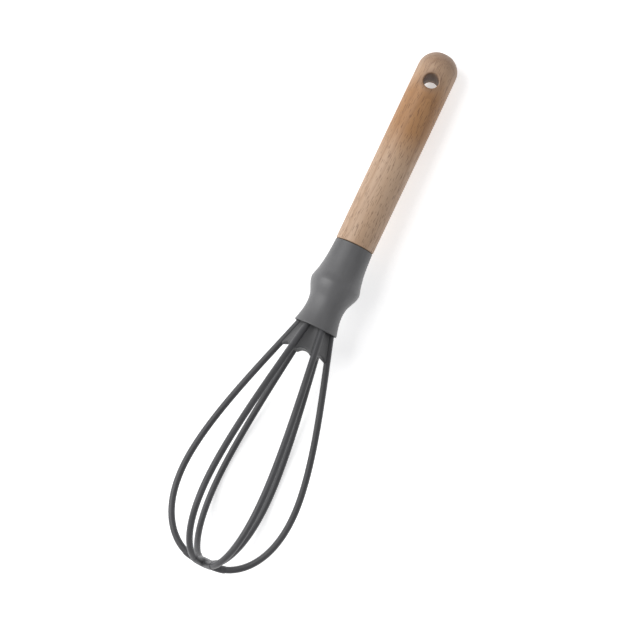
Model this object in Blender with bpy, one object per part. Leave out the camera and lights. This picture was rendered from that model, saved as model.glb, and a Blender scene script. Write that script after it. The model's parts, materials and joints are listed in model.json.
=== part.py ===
"""Balloon whisk lying at rest: a turned beech handle, a grey collar and a cage of three coated wires.

Run with: blender --background --python part.py

Units are metres. Every piece is first made along one straight axis: x runs from the foot of the
cage, at 0, to the tip of the handle, and an angle round that axis is measured from +Y towards +Z.
The pieces hang on one empty, which then tips the whisk until it rests on two wires and its handle.
"""

import math

import bmesh
import bpy
import numpy as np
from mathutils import Euler, Vector

GAP = 0.0003  # clearance between neighbouring pieces

# The whole whisk
LENGTH = 0.290
MOUTH_X = 0.1335  # where the collar opens onto the wires
JOINT_X = 0.180  # where the collar meets the wood

# Handle
HANDLE_RADIUS = 0.0106
HANDLE_NECK_RADIUS = 0.0104
HANDLE_SWELL_X = 0.210  # where half of the swelling is reached
HANDLE_EDGE = 0.0006  # rounding of the wooden shoulder at the collar
TIP_DEPTH = 0.0100  # of the round end, along the axis
TIP_FLAT_RADIUS = 0.0045
TENON_RADIUS = 0.0075
TENON_LENGTH = 0.015
HANG_HOLE_RADIUS = 0.004
HANG_HOLE_FROM_TIP = 0.017
HANG_HOLE_RIM = 0.0009  # width of the eased edge
HANG_HOLE_OVERCUT = 0.002  # how far its cutter stands out of the wood

# Collar
COLLAR_TOP_RADIUS = 0.0102
BULGE_X = 0.1575
BULGE_RADIUS = 0.0133
BULGE_FLANK_RADIUS = 0.0123
BULGE_FLANK = 0.004  # from the top of the bulge to each flank
BACK_SLOPE = ((0.1665, 0.0113), (0.1725, 0.0106))  # from the bulge up to the handle
NECK_X = 0.1455
NECK_RADIUS = 0.0098
NECK_END = (0.1495, 0.0105)  # where the neck starts to swell into the bulge
FLARE = (0.1395, 0.0103)  # between the neck and the lip
LIP_RADIUS = 0.0118
MOUTH_BORE_RADIUS = 0.0111
BORE_RADIUS = 0.0078
BORE_FRONT_X = 0.1495

# Wire cage
CORE_RADIUS = 0.0005
SLEEVE_RADIUS = 0.0017
SLEEVE_BORE_RADIUS = CORE_RADIUS + GAP
LOOP_ANGLES = (0, 62, 118)  # of the three loops round the axis, in degrees
LOOPS = len(LOOP_ANGLES)
LEGS = 2 * LOOPS
CAGE_RADIUS = 0.0308  # of the wires' middle line, where the balloon is widest
WIDEST_X = 0.0416
CROSSING_X = 0.0025
SLEEVE_END = (0.148, 0.0047)  # x and radius where the coating stops, inside the neck
SLEEVE_END_SLOPE = 0.24
FOOT_PULL = 0.0095  # the four pulls shape the leg's two curves
WIDEST_PULL_DOWN = 0.029
WIDEST_PULL_UP = 0.031
NECK_PULL = 0.0251
FOOT_STEPS = 11
SIDE_STEPS = 10
SEAT_STEPS = 4
HUB_RADIUS = 0.005
HUB_THICKNESS = 0.005
HUB_FLAT_RADIUS = 0.0022
HUB_SHOULDER = (0.0021, 0.0040)  # height above the middle and radius
HUB_RIM_HEIGHT = 0.0014
HUB_STEPS = 5

# Wire holder and what is fixed to it
HOLDER_FRONT_X = 0.1505
HOLDER_BACK_X = 0.1647
HOLDER_RADIUS = BORE_RADIUS - GAP
SEAT_RING_RADIUS = 0.0040  # ring on which the six wire ends sit
SEAT_STRAIGHT_X = 0.154  # from here on the wires run parallel to the axis
SEAT_PULL = 0.002
WIRE_END_X = 0.1625
CLAMP_X = (0.1545, 0.1605)
CLAMP_WALL = 0.0008
TANG_RADIUS = 0.002
TANG_CHAMFER = 0.0004
TANG_GROOVE = 0.0004
TANG_GROOVES = 8
TANG_GROOVES_FROM_HOLDER = 0.006
TANG_GROOVES_FROM_END = 0.003
TANG_X = (0.1556, 0.205)

# Neck plug between the wires
PLUG_X = (0.1200, 0.1474)
PLUG_DEPTH_IN_RING = 0.0010  # the plug's flare stays this much inside the wires' middle lines
PLUG_DISH = 0.0020  # hollow of its face
PLUG_EDGE = 0.0008
PLUG_SLOT_REACH = 0.004
PLUG_SLOT_FROM_X = 0.085

AROUND = 32  # sides of a large turned piece
TUBE_SIDES = 8
CORE_SIDES = 6
SLOT_SIDES = 12
SMALL_AROUND = 24


def material(name, colour, roughness, metallic=0.0):
    """A Principled material with one colour."""
    made = bpy.data.materials.new(name)
    made.use_nodes = True
    shader = made.node_tree.nodes["Principled BSDF"]
    shader.inputs["Base Color"].default_value = (*colour, 1.0)
    shader.inputs["Roughness"].default_value = roughness
    shader.inputs["Metallic"].default_value = metallic
    made.diffuse_color = (*colour, 1.0)
    return made


def add_object(name, mesh, finish, axis):
    """Put a mesh in the scene under the axis empty."""
    part = bpy.data.objects.new(name, mesh)
    bpy.context.scene.collection.objects.link(part)
    mesh.materials.append(finish)
    part.parent = axis
    return part


def finish_mesh(name, body):
    """Turn a bmesh into a mesh whose faces point outwards."""
    bmesh.ops.recalc_face_normals(body, faces=body.faces)
    mesh = bpy.data.meshes.new(name)
    body.to_mesh(mesh)
    body.free()
    mesh.shade_smooth()
    mesh.set_sharp_from_angle(angle=math.radians(35))
    return mesh


def bridge(body, ring, following):
    """Join two rings of vertices, either of which may be a single vertex on the axis."""
    count = max(len(ring), len(following))
    for i in range(count):
        j = (i + 1) % count
        corners = [ring[i % len(ring)], ring[j % len(ring)]]
        corners += [following[j % len(following)], following[i % len(following)]]
        body.faces.new(list(dict.fromkeys(corners)))


def turned(name, outline, sides=AROUND, closed=False):
    """Turn an outline of (x, radius) about the axis; a closed one makes a ring."""
    body = bmesh.new()
    rings = []
    for x, radius in outline:
        if radius == 0:
            rings.append([body.verts.new((x, 0, 0))])
            continue
        turn = [2 * math.pi * i / sides for i in range(sides)]
        rings.append([body.verts.new((x, radius * math.cos(t), radius * math.sin(t))) for t in turn])
    for ring, following in zip(rings, rings[1:]):
        bridge(body, ring, following)
    if closed:
        bridge(body, rings[-1], rings[0])
    return finish_mesh(name, body)


def arc(centre, depth, radius, start, end, count):
    """Points (x, radius) along an elliptic arc about centre, from the angle start to the angle end."""
    angles = np.linspace(start, end, count)
    return [(centre[0] + depth * math.cos(a), centre[1] + radius * math.sin(a)) for a in angles]


def smooth_outline(points, steps):
    """Points on a smooth curve through the given (x, radius) points, which run along x."""
    xs, radii = np.array(points).T
    slopes = np.gradient(radii, xs)
    made = []
    for i in range(len(points) - 1):
        width = xs[i + 1] - xs[i]
        for t in np.linspace(0, 1, steps, endpoint=False):
            keep = (1 + 2 * t) * (1 - t) ** 2 * radii[i] + t * t * (3 - 2 * t) * radii[i + 1]
            lean = t * (1 - t) ** 2 * slopes[i] - t * t * (1 - t) * slopes[i + 1]
            made.append((xs[i] + t * width, keep + lean * width))
    return made + [tuple(points[-1])]


def bezier(start, pull_start, pull_end, end, steps):
    """Points after the start, along a cubic curve of (x, radius)."""
    start, pull_start, pull_end, end = map(np.array, (start, pull_start, pull_end, end))
    made = []
    for t in np.linspace(0, 1, steps + 1)[1:]:
        s = 1 - t
        point = s**3 * start + 3 * s * s * t * pull_start + 3 * s * t * t * pull_end + t**3 * end
        made.append(tuple(point))
    return made


def coated_leg():
    """Middle line of one leg where it is coated: from the hub's rim, past the widest place, to the neck."""
    rim = (CROSSING_X, HUB_RADIUS + GAP)
    widest = (WIDEST_X, CAGE_RADIUS)
    back = Vector((-1, SLEEVE_END_SLOPE)).normalized() * NECK_PULL
    leave = (CROSSING_X, rim[1] + FOOT_PULL)
    foot = bezier(rim, leave, (WIDEST_X - WIDEST_PULL_DOWN, CAGE_RADIUS), widest, FOOT_STEPS)
    entry = (SLEEVE_END[0] + back.x, SLEEVE_END[1] + back.y)
    side = bezier(widest, (WIDEST_X + WIDEST_PULL_UP, CAGE_RADIUS), entry, SLEEVE_END, SIDE_STEPS)
    return [rim] + foot + side


def seated_end():
    """Middle line of one leg from the end of its coating to the end of its seat in the holder."""
    first = (SLEEVE_END[0] + SEAT_PULL, SLEEVE_END[1] - SEAT_PULL * SLEEVE_END_SLOPE)
    second = (SEAT_STRAIGHT_X - SEAT_PULL, SEAT_RING_RADIUS)
    bend = bezier(SLEEVE_END, first, second, (SEAT_STRAIGHT_X, SEAT_RING_RADIUS), SEAT_STEPS)
    return bend + [(WIRE_END_X, SEAT_RING_RADIUS)]


def crossing(lift):
    """Middle line of one wire inside the hub, where it is lifted clear of the wires it crosses."""
    made = []
    for radius in np.linspace(0, HUB_RADIUS, HUB_STEPS):
        fade = math.cos(math.pi / 2 * radius / HUB_RADIUS) ** 2
        made.append((CROSSING_X + lift * fade, radius))
    return made


def loop_line(lift, beyond=0.0):
    """Middle line (x, signed radius) of a whole loop, longer by beyond at both ends."""
    leg = crossing(lift) + coated_leg() + seated_end()
    end_x, end_radius = leg[-1]
    leg[-1] = (end_x + beyond, end_radius)
    other = [(x, -radius) for x, radius in reversed(leg[1:])]
    return other + leg


def swept(line, angle, section, bore=None):
    """Sweep a section along a line that lies in the plane at this angle round the axis.

    A section is a list of offsets (outwards in the plane, across the plane). With a bore, which has
    as many offsets as the section, the piece is a tube that is open at both ends.
    """
    body = bmesh.new()
    points = np.array(line)
    along = np.gradient(points, axis=0)
    along /= np.linalg.norm(along, axis=1)[:, None]
    outward = np.array((0, math.cos(angle), math.sin(angle)))
    across = np.array((0, -math.sin(angle), math.cos(angle)))

    def rings(offsets):
        made = []
        for (x, radius), (dx, dr) in zip(points, along):
            centre = np.array((x, 0, 0)) + radius * outward
            normal = np.array((-dr, 0, 0)) + dx * outward
            made.append([body.verts.new(centre + a * normal + b * across) for a, b in offsets])
        for ring, following in zip(made, made[1:]):
            bridge(body, ring, following)
        return made

    outer = rings(section)
    if bore is None:
        body.faces.new(outer[0])
        body.faces.new(outer[-1])
    else:
        inner = rings(bore)
        bridge(body, outer[0], inner[0])
        bridge(body, outer[-1], inner[-1])
    return body


def circle(radius, sides):
    """A round section."""
    turn = [2 * math.pi * (i + 0.5) / sides for i in range(sides)]
    return [(radius * math.cos(t), radius * math.sin(t)) for t in turn]


def slot(radius, reach):
    """A round section that is stretched outwards by reach."""
    turn = [2 * math.pi * (i + 0.5) / SLOT_SIDES for i in range(SLOT_SIDES)]
    return [(radius * math.cos(t) + reach * (math.cos(t) > 0), radius * math.sin(t)) for t in turn]


def cutter(name, mesh, axis):
    """A helper that only cuts: it isn't rendered."""
    part = bpy.data.objects.new(name, mesh)
    bpy.context.scene.collection.objects.link(part)
    part.parent = axis
    part.hide_render = True
    part.display_type = "WIRE"
    return part


def cut(part, tool):
    """Cut the tool's shape out of the part."""
    boolean = part.modifiers.new("cut_" + tool.name, "BOOLEAN")
    boolean.operation = "DIFFERENCE"
    boolean.solver = "EXACT"
    boolean.object = tool


def leg_angle(leg):
    """Angle of a leg round the axis. Legs 0 to 2 start the loops, and 3 to 5 end them."""
    return math.radians(LOOP_ANGLES[leg % LOOPS] + 180 * (leg // LOOPS))


def core_lift(loop):
    """How far a loop's wire is moved along the axis where the three wires cross."""
    return (loop - 1) * (2 * CORE_RADIUS + GAP)


def hang_hole_tool(axis):
    """The hole across the handle near its tip, with an eased edge on both sides."""
    reach = HANDLE_RADIUS + HANG_HOLE_OVERCUT
    rim = HANG_HOLE_RADIUS + HANG_HOLE_RIM + HANG_HOLE_OVERCUT
    shoulder = HANDLE_RADIUS - 1.5 * HANG_HOLE_RIM
    outline = [(-reach, 0), (-reach, rim), (-shoulder, HANG_HOLE_RADIUS)]
    outline += [(shoulder, HANG_HOLE_RADIUS), (reach, rim), (reach, 0)]
    tool = cutter("hang_hole", turned("hang_hole", outline, SMALL_AROUND), axis)
    tool.rotation_euler = Euler((0, math.radians(90), 0))
    tool.location = (LENGTH - HANG_HOLE_FROM_TIP, 0, 0)
    return tool


def make_handle(axis):
    """Turned beech: a tenon for the collar, a near-straight grip and a round end with a small flat."""
    wood = material("beech", (0.47, 0.27, 0.14), 0.55)
    tip_angle = math.asin(TIP_FLAT_RADIUS / HANDLE_RADIUS)
    dome_x = LENGTH - TIP_DEPTH * math.cos(tip_angle)
    shoulder_x = JOINT_X + GAP
    tenon_x = shoulder_x - TENON_LENGTH
    bore = TANG_RADIUS + GAP
    bore_end = TANG_X[1] + GAP
    outline = [(bore_end, 0), (bore_end, bore), (tenon_x, bore)]
    outline += [(tenon_x, TENON_RADIUS), (shoulder_x, TENON_RADIUS)]
    outline += [(shoulder_x, HANDLE_NECK_RADIUS - HANDLE_EDGE)]
    grip = [(shoulder_x + HANDLE_EDGE, HANDLE_NECK_RADIUS)]
    grip += [(HANDLE_SWELL_X, 0.5 * (HANDLE_NECK_RADIUS + HANDLE_RADIUS)), (dome_x, HANDLE_RADIUS)]
    outline += smooth_outline(grip, 3)
    outline += arc((dome_x, 0), TIP_DEPTH, HANDLE_RADIUS, math.pi / 2, tip_angle, 7)[1:]
    outline += [(LENGTH, 0)]
    handle = add_object("handle", turned("handle", outline), wood, axis)
    cut(handle, hang_hole_tool(axis))
    return handle


def make_collar(axis):
    """Grey moulded sleeve: round the tenon, a bulge as finger stop, a neck and a flared lip."""
    grey = material("grey_collar", (0.10, 0.10, 0.105), 0.6)
    outside = [(MOUTH_X, LIP_RADIUS), FLARE, (NECK_X, NECK_RADIUS), NECK_END]
    outside += [(BULGE_X - BULGE_FLANK, BULGE_FLANK_RADIUS), (BULGE_X, BULGE_RADIUS)]
    outside += [(BULGE_X + BULGE_FLANK, BULGE_FLANK_RADIUS), *BACK_SLOPE]
    outside += [(JOINT_X, COLLAR_TOP_RADIUS)]
    inside = [(JOINT_X, BORE_RADIUS), (BORE_FRONT_X, BORE_RADIUS), (MOUTH_X, MOUTH_BORE_RADIUS)]
    outline = smooth_outline(outside, 2) + inside
    return add_object("collar", turned("collar", outline, closed=True), grey, axis)


def make_tang(axis):
    """Steel rod with glue grooves that joins the wire holder to the handle."""
    steel = material("steel_tang", (0.55, 0.55, 0.56), 0.35, 1.0)
    front, back = TANG_X
    chamfer = TANG_CHAMFER
    outline = [(front, 0), (front, TANG_RADIUS - chamfer), (front + chamfer, TANG_RADIUS)]
    first = HOLDER_BACK_X + TANG_GROOVES_FROM_HOLDER
    pitch = (back - TANG_GROOVES_FROM_END - first) / TANG_GROOVES
    for groove in range(TANG_GROOVES):
        x = first + groove * pitch
        low = TANG_RADIUS - TANG_GROOVE
        outline += [(x, TANG_RADIUS), (x + TANG_GROOVE, low)]
        outline += [(x + pitch / 2 - TANG_GROOVE, low), (x + pitch / 2, TANG_RADIUS)]
    outline += [(back - chamfer, TANG_RADIUS), (back, TANG_RADIUS - chamfer), (back, 0)]
    return add_object("tang", turned("tang", outline, 12), steel, axis)


def make_wire_holder(axis, core_tools):
    """Nylon block with six curved seats for the wires, a groove for the clamp and a bore for the tang."""
    nylon = material("nylon_holder", (0.62, 0.61, 0.57), 0.5)
    bore = TANG_RADIUS + GAP
    groove = HOLDER_RADIUS - CLAMP_WALL - GAP
    start, end = CLAMP_X[0] - GAP, CLAMP_X[1] + GAP
    outline = [(HOLDER_FRONT_X, 0), (HOLDER_FRONT_X, HOLDER_RADIUS), (start, HOLDER_RADIUS)]
    outline += [(start, groove), (end, groove), (end, HOLDER_RADIUS)]
    outline += [(HOLDER_BACK_X, HOLDER_RADIUS), (HOLDER_BACK_X, bore)]
    outline += [(TANG_X[0] - GAP, bore), (TANG_X[0] - GAP, 0)]
    holder = add_object("wire_holder", turned("wire_holder", outline), nylon, axis)
    for tool in core_tools:
        cut(holder, tool)
    return holder


def make_clamp_ring(axis):
    """Steel band pressed round the holder to lock the wire ends in their seats."""
    steel = material("steel_clamp", (0.55, 0.55, 0.56), 0.3, 1.0)
    outer = HOLDER_RADIUS
    inner = outer - CLAMP_WALL
    outline = [(CLAMP_X[0], inner), (CLAMP_X[0], outer), (CLAMP_X[1], outer), (CLAMP_X[1], inner)]
    return add_object("clamp_ring", turned("clamp_ring", outline, closed=True), steel, axis)


def bore_radius(x):
    """Inner radius of the collar between its mouth and the end of its straight bore."""
    return float(np.interp(x, (MOUTH_X, BORE_FRONT_X), (MOUTH_BORE_RADIUS, BORE_RADIUS)))


def wire_ring_radius(x):
    """Radius of the ring of wires at a place in the neck."""
    neck = [point for point in coated_leg() if point[0] > WIDEST_X]
    return float(np.interp(x, *zip(*neck)))


def make_neck_plug(axis):
    """Soft plug that fills the collar's mouth and flares out between the wires, which lie in its slots."""
    rubber = material("grey_plug", (0.07, 0.07, 0.075), 0.7)
    front, back = PLUG_X
    flare = [wire_ring_radius(x) - PLUG_DEPTH_IN_RING for x in (front, MOUTH_X)]
    outline = [(front + PLUG_DISH, 0), (front, flare[0] - PLUG_EDGE), (front + PLUG_EDGE, flare[0])]
    outline += [(MOUTH_X, flare[1]), (MOUTH_X + GAP, bore_radius(MOUTH_X + GAP) - GAP)]
    outline += [(back, bore_radius(back) - GAP), (back, 0)]
    plug = add_object("neck_plug", turned("neck_plug", outline), rubber, axis)
    neck = [point for point in coated_leg() if point[0] > PLUG_SLOT_FROM_X]
    section = slot(SLEEVE_RADIUS + GAP, PLUG_SLOT_REACH)
    for leg in range(LEGS):
        mesh = finish_mesh("plug_slot", swept(neck, leg_angle(leg), section))
        cut(plug, cutter(f"plug_slot_{leg + 1}", mesh, axis))
    return plug


def make_cores(axis):
    """Three steel loops, one through the other at the foot, and the cutters for the seats they lie in."""
    steel = material("steel_wire", (0.6, 0.6, 0.61), 0.3, 1.0)
    tools = []
    for loop in range(LOOPS):
        angle = leg_angle(loop)
        body = swept(loop_line(core_lift(loop)), angle, circle(CORE_RADIUS, CORE_SIDES))
        add_object(f"core_wire_{loop + 1}", finish_mesh("core_wire", body), steel, axis)
        seat = circle(CORE_RADIUS + GAP, CORE_SIDES)
        body = swept(loop_line(core_lift(loop), GAP), angle, seat)
        tools.append(cutter(f"wire_seat_{loop + 1}", finish_mesh("wire_seat", body), axis))
    return tools


def make_sleeves(axis):
    """Grey silicone coating of each leg, a tube from the hub to just inside the collar's neck."""
    silicone = material("grey_silicone", (0.09, 0.09, 0.095), 0.55)
    sleeves = []
    for leg in range(LEGS):
        outside = circle(SLEEVE_RADIUS, TUBE_SIDES)
        bore = circle(SLEEVE_BORE_RADIUS, TUBE_SIDES)
        body = swept(coated_leg(), leg_angle(leg), outside, bore)
        name = f"wire_sleeve_{leg + 1}"
        sleeves.append(add_object(name, finish_mesh("wire_sleeve", body), silicone, axis))
    return sleeves


def make_hub(axis, core_tools):
    """Moulded silicone button that covers the place where the three wires cross."""
    silicone = material("grey_hub", (0.08, 0.08, 0.085), 0.55)
    half = HUB_THICKNESS / 2
    low = [(CROSSING_X - half, 0), (CROSSING_X - half, HUB_FLAT_RADIUS)]
    low += [(CROSSING_X - HUB_SHOULDER[0], HUB_SHOULDER[1]), (CROSSING_X - HUB_RIM_HEIGHT, HUB_RADIUS)]
    high = [(2 * CROSSING_X - x, radius) for x, radius in reversed(low)]
    hub = add_object("crossing_hub", turned("crossing_hub", low + high, SMALL_AROUND), silicone, axis)
    for tool in core_tools:
        cut(hub, tool)
    return hub


def lowest(points, tilt):
    """Height of the lowest point after tipping by this angle."""
    return (points[:, 2] * math.cos(tilt) - points[:, 0] * math.sin(tilt)).min()


def corners_of(parts):
    """Corners of the parts' own meshes, before the whisk is laid down."""
    return np.array([vertex.co for part in parts for vertex in part.data.vertices])


def lay_down(axis, handle, sleeves, others):
    """Tip the whisk until its wires and its handle touch one level, and centre it over the origin."""
    wires, wood = corners_of(sleeves), corners_of([handle])
    least, most = 0.0, math.radians(20)
    for _ in range(50):
        tilt = (least + most) / 2
        if lowest(wood, tilt) > lowest(wires, tilt):
            least = tilt
        else:
            most = tilt
    axis.rotation_euler = Euler((0, tilt, 0))
    turn = np.array(axis.rotation_euler.to_matrix())
    placed = corners_of([handle, *sleeves, *others]) @ turn.T
    middle = (placed.min(axis=0) + placed.max(axis=0)) / 2
    axis.location = (-middle[0], -middle[1], -placed[:, 2].min())
    bpy.context.view_layer.update()
    print(f"tilt {math.degrees(tilt):.4f} degrees, size {np.ptp(placed, axis=0)}")
    for name, x in (("foot", 0), ("widest", WIDEST_X), ("hang hole", LENGTH - HANG_HOLE_FROM_TIP)):
        print(name, tuple(round(c, 5) for c in axis.matrix_world @ Vector((x, 0, 0))))
    print("tip", tuple(round(c, 5) for c in axis.matrix_world @ Vector((LENGTH, 0, 0))))


def main():
    for old in list(bpy.data.objects):
        bpy.data.objects.remove(old, do_unlink=True)
    axis = bpy.data.objects.new("whisk_axis", None)
    bpy.context.scene.collection.objects.link(axis)
    handle = make_handle(axis)
    collar = make_collar(axis)
    make_tang(axis)
    core_tools = make_cores(axis)
    make_wire_holder(axis, core_tools)
    make_clamp_ring(axis)
    make_neck_plug(axis)
    sleeves = make_sleeves(axis)
    hub = make_hub(axis, core_tools)
    lay_down(axis, handle, sleeves, [collar, hub])


main()
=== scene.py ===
# %% [markdown]
# # A balloon whisk
# The whisk lies on a table: a turned beech handle, a grey collar with a finger stop, and a cage of
# three coated wire loops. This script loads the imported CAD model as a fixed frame, measures it,
# and builds the fine surfaces and finishes around it. A few sizes aren't measured but repeated
# from the CAD: the handle's round end, the hang hole, and the wires' path and thickness.
# Everything is in metres.

# %% Load the frame
import json
import math

import bmesh
import bpy
import numpy as np
from mathutils import Matrix, Vector


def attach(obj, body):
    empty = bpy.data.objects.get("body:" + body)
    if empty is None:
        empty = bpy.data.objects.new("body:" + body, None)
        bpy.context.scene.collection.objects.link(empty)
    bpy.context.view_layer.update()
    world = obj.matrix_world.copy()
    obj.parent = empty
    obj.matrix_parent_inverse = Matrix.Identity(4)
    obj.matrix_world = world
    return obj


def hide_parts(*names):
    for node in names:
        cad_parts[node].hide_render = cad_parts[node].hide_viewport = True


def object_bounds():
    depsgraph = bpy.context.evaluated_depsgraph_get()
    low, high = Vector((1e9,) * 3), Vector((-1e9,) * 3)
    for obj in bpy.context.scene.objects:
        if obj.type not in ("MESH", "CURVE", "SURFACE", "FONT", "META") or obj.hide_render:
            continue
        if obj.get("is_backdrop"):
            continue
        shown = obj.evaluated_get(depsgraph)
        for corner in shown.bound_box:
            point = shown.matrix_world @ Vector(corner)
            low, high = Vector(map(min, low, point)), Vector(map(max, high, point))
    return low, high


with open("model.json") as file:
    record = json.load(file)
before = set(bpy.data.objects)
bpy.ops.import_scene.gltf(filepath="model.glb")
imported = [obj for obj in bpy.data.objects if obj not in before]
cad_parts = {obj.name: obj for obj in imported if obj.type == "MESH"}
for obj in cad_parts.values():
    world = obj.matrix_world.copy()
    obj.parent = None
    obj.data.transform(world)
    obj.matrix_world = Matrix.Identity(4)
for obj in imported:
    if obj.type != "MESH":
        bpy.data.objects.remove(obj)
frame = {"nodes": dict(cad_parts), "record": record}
nodes = frame["nodes"]
cad_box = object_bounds()
print("CAD box", [[round(value, 4) for value in corner] for corner in cad_box])

# %% [markdown]
# ## Where the whisk's own axis runs
# The whisk rests on two wires and the end of its handle, so its long axis slopes down to the tip.
# Turned and bent pieces are far easier to build along a straight axis. The record's mount on the
# handle's tip gives a point and a direction on that axis, and the crossing of the wires gives its
# other end. From these comes one matrix that carries straight pieces to where they lie.

# %% The whisk's axis
MILLIMETRE = 0.001
mounts = {mount["name"]: mount for mount in frame["record"]["mounts"]}
tip = Vector(mounts["tip_face"]["pos_m"])
along = Vector(mounts["tip_face"]["axis"]).normalized()
hub_points = [vertex.co for vertex in nodes["crossing_hub"].data.vertices]
LENGTH = max((tip - point).dot(along) for point in hub_points)
foot = tip - along * LENGTH
side = Vector((0, 1, 0))
upward = along.cross(side)
lay = Matrix((along, side, upward)).transposed().to_4x4()
lay.translation = foot
straighten = lay.inverted()
tilt = math.degrees(math.asin(-along.z))
print(f"overall length {LENGTH:.4f}, axis tilted {tilt:.2f} degrees")

# %% [markdown]
# ## Measuring the frame along that axis
# A turned piece is known by how far along the axis it reaches and by its radius. Taking the CAD
# vertices back to the straight axis gives both.

# %% Spans and radii
def straight_points(name):
    """The vertices of a CAD node as (x along the axis, y, z), an array."""
    return np.array([straighten @ vertex.co for vertex in nodes[name].data.vertices])


def span(name):
    """Where a CAD node starts and ends along the axis, and its largest radius."""
    points = straight_points(name)
    return points[:, 0].min(), points[:, 0].max(), np.hypot(points[:, 1], points[:, 2]).max()


def rings_of(name):
    """The radii of a turned CAD node at each place along the axis where it has vertices."""
    points = straight_points(name)
    places = np.round(points[:, 0], 5)
    radii = np.hypot(points[:, 1], points[:, 2])
    return {float(x): radii[places == x] for x in np.unique(places)}


def radius_at(name, x):
    """Outer radius of a turned CAD node anywhere along the axis."""
    rings = rings_of(name)
    return float(np.interp(x, list(rings), [radii.max() for radii in rings.values()]))


mouth_x, joint_x, bulge_radius = span("collar")
tenon_x, _, handle_radius = span("handle")
hub_start, hub_end, hub_radius = span("crossing_hub")
plug_start, plug_end, _ = span("neck_plug")
hang_hole_x = (straighten @ Vector(mounts["hang_hole"]["pos_m"])).x
leg_names = [name for name in sorted(nodes) if name.startswith("wire_sleeve")]
leg_middles = [straight_points(name).mean(axis=0) for name in leg_names]
SLACK = 0.01  # keeps the first leg's angle near 0, where rounding could make it a whole turn
leg_angles = [(math.atan2(z, y) + SLACK) % (2 * math.pi) - SLACK for _, y, z in leg_middles]
print(f"collar {mouth_x:.4f} to {joint_x:.4f}, bulge {bulge_radius:.4f}, handle {handle_radius:.4f}")
print("legs at", [round(math.degrees(angle), 1) for angle in leg_angles], "degrees")

# %% [markdown]
# ## The camera
# The picture looks straight down on the whisk, from a little to one side, with the handle up to
# the right. The camera is made first. It stands about 0.8 m away with a long lens, which keeps
# the near and the far wires almost the same size. Its own up direction is turned so that the
# whisk's axis leans 25.4 degrees from the vertical of the picture.

# %% Camera
CAMERA_DISTANCE = 0.80
FRAME_WIDTH = 0.3197  # of the surface seen at the whisk's height
SIDE_STEP = math.radians(4.5)  # how far the camera stands round the whisk's axis
LEAN = math.radians(25.4)  # of the whisk's axis, from the picture's vertical
AIM_RIGHT = -0.0064  # the picture's centre, from the middle of the whisk, along the picture
AIM_UP = -0.0023


def picture_camera():
    """A camera that looks down on the whisk, turned so that the handle points up to the right."""
    looking = Vector((0, math.sin(SIDE_STEP), -math.cos(SIDE_STEP)))
    handle_way = (along - along.dot(looking) * looking).normalized()
    across = looking.cross(handle_way)
    up = handle_way * math.cos(LEAN) - across * math.sin(LEAN)
    right = looking.cross(up)
    aim = (foot + tip) / 2 + right * AIM_RIGHT + up * AIM_UP
    camera = bpy.data.objects.new("picture_camera", bpy.data.cameras.new("picture_camera"))
    camera.data.sensor_width = 36
    camera.data.lens = 36 * CAMERA_DISTANCE / FRAME_WIDTH
    turn = Matrix((right, up, -looking)).transposed()
    camera.matrix_world = Matrix.Translation(aim - looking * CAMERA_DISTANCE) @ turn.to_4x4()
    bpy.context.scene.collection.objects.link(camera)
    bpy.context.scene.camera = camera
    return right, up, aim


picture_right, picture_up, aim = picture_camera()
print("camera aims at", tuple(round(value, 4) for value in aim))

# %% [markdown]
# ## Writing node trees as sums
# A finish is mostly arithmetic: a ring pattern is a distance divided by a spacing, a fleck is a
# noise above a threshold. One small class wraps a node's output, so that plus, minus and the
# rest add Math nodes. Every other node comes from one method that takes its type, its settings
# and what its sockets get. The same class serves shader trees and geometry trees.

# %% Sockets that can be added and multiplied
class Socket:
    """A node's output. The usual operators on it build Math nodes."""

    def __init__(self, tree, link):
        self.tree = tree
        self.link = link

    def math(self, operation, *values):
        return self.tree.node("ShaderNodeMath", {"operation": operation}, dict(enumerate(values)))

    def __add__(self, other):
        return self.math("ADD", self, other)

    def __radd__(self, other):
        return self.math("ADD", other, self)

    def __sub__(self, other):
        return self.math("SUBTRACT", self, other)

    def __rsub__(self, other):
        return self.math("SUBTRACT", other, self)

    def __mul__(self, other):
        return self.math("MULTIPLY", self, other)

    def __rmul__(self, other):
        return self.math("MULTIPLY", other, self)

    def __truediv__(self, other):
        return self.math("DIVIDE", self, other)

    def __rtruediv__(self, other):
        return self.math("DIVIDE", other, self)

    def __mod__(self, other):
        return self.math("FLOORED_MODULO", self, other)

    def __rmod__(self, other):
        return self.math("FLOORED_MODULO", other, self)

    def __pow__(self, other):
        return self.math("POWER", self, other)

    def __rpow__(self, other):
        return self.math("POWER", other, self)

    def __lt__(self, other):
        return self.math("LESS_THAN", self, other)

    def __gt__(self, other):
        return self.math("GREATER_THAN", self, other)


class Tree:
    """Adds nodes to a shader tree or a geometry tree."""

    def __init__(self, made_in):
        self.made_in = made_in

    def feed(self, socket, value):
        """Link an output to a socket, or set the socket's own value."""
        if isinstance(value, Socket):
            self.made_in.links.new(value.link, socket)
        else:
            socket.default_value = value

    def node(self, kind, settings=None, values=None, out=0):
        """Add a node, apply its settings, feed its sockets, and return one of its outputs."""
        made = self.made_in.nodes.new(kind)
        for name, value in (settings or {}).items():
            setattr(made, name, value)
        for name, value in (values or {}).items():
            self.feed(made.inputs[name], value)
        return Socket(self, made.outputs[out]) if len(made.outputs) else None


# %% [markdown]
# ## A finish starts at a place on the whisk
# Solid textures read a place in space. Here every finish reads Object coordinates and turns them
# back to the straight axis, so grain follows the handle and wear follows the collar. Grain is
# long and thin because its noise has many features to the metre across the axis and few along it.

# %% Materials with a straightened place
def colour(red, green, blue):
    """A colour for a socket, from the 0 to 255 values that a paint chart gives."""
    channels = [channel / 255 for channel in (red, green, blue)]
    linear = [c / 12.92 if c <= 0.04045 else ((c + 0.055) / 1.055) ** 2.4 for c in channels]
    return (*linear, 1.0)


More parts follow.
